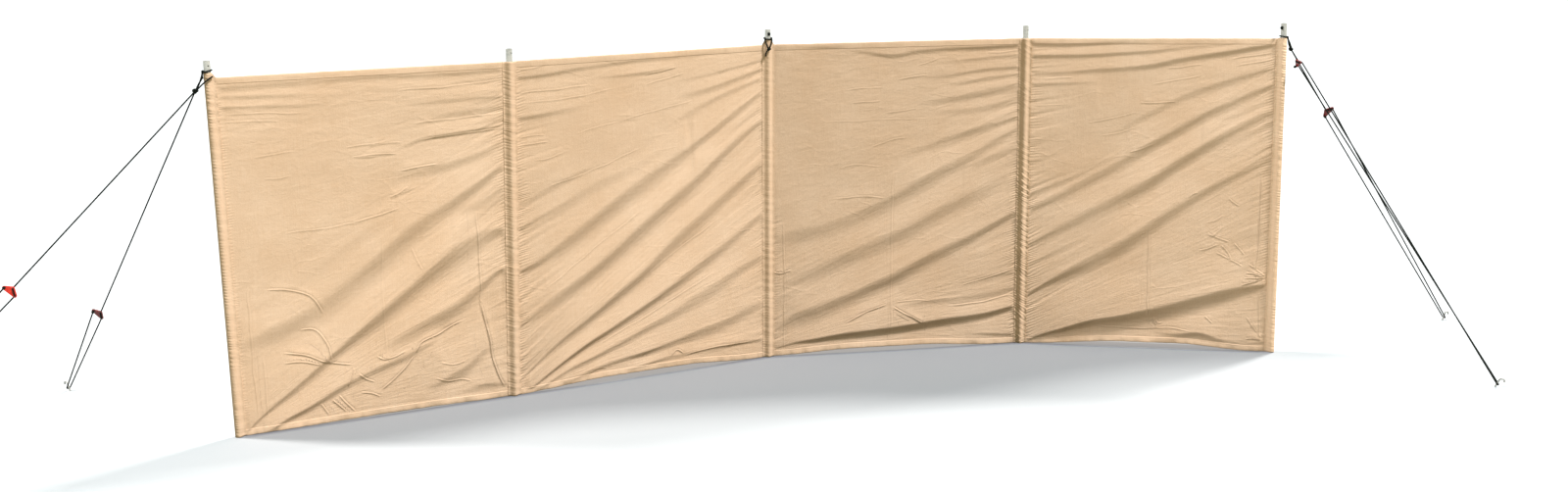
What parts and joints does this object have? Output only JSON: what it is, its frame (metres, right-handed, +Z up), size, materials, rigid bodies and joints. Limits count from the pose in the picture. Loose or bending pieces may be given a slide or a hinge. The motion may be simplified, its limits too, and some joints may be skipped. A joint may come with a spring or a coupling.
{
  "type": "beach windbreak",
  "caption": "Canvas windbreak of several bays, sewn to sleeves on steel poles in a shallow curve, held by guy ropes with runners and pegs at both ends.",
  "frame": {"origin": "middle of the middle pole's foot, at ground level", "axes": "+X from the left end pole to the right end pole, -Y out of the sheltered side, +Z up"},
  "size_m": [5.9465, 1.344, 1.256],
  "materials": {
    "panel_canvas": "sand-coloured cotton canvas, plain weave",
    "sleeve_canvas": "sand-coloured cotton canvas, folded double and stitched",
    "hem_canvas": "sand-coloured cotton canvas, turned hem",
    "galvanised_steel": "zinc-plated steel tube",
    "peg_steel": "zinc-plated steel wire",
    "guy_rope": "dark green braided polyester rope",
    "runner_plastic": "moulded red plastic"
  },
  "bodies": {
    "root": {"left_back_guy_rope": "guy_rope", "left_back_peg": "peg_steel", "left_back_runner": "runner_plastic", "left_end_bottom_hem": "hem_canvas", "left_end_panel": "panel_canvas", "left_end_pole": "galvanised_steel", "left_end_sleeve": "sleeve_canvas", "left_end_top_hem": "hem_canvas", "left_front_guy_rope": "guy_rope", "left_front_peg": "peg_steel", "left_front_runner": "runner_plastic", "left_guy_knot": "guy_rope", "left_inner_bottom_hem": "hem_canvas", "left_inner_panel": "panel_canvas", "left_inner_pole": "galvanised_steel", "left_inner_sleeve": "sleeve_canvas", "left_inner_top_hem": "hem_canvas", "left_tip_tie": "guy_rope", "middle_knot": "guy_rope", "middle_pole": "galvanised_steel", "middle_sleeve": "sleeve_canvas", "middle_tip_stopper": "guy_rope", "middle_tip_tie": "guy_rope", "right_back_guy_rope": "guy_rope", "right_back_peg": "peg_steel", "right_back_runner": "runner_plastic", "right_end_bottom_hem": "hem_canvas", "right_end_panel": "panel_canvas", "right_end_pole": "galvanised_steel", "right_end_sleeve": "sleeve_canvas", "right_end_tip_stopper": "guy_rope", "right_end_top_hem": "hem_canvas", "right_front_guy_rope": "guy_rope", "right_front_peg": "peg_steel", "right_front_runner": "runner_plastic", "right_guy_knot": "guy_rope", "right_inner_bottom_hem": "hem_canvas", "right_inner_panel": "panel_canvas", "right_inner_pole": "galvanised_steel", "right_inner_sleeve": "sleeve_canvas", "right_inner_top_hem": "hem_canvas", "right_tip_tie": "guy_rope"}
  },
  "joints": []
}
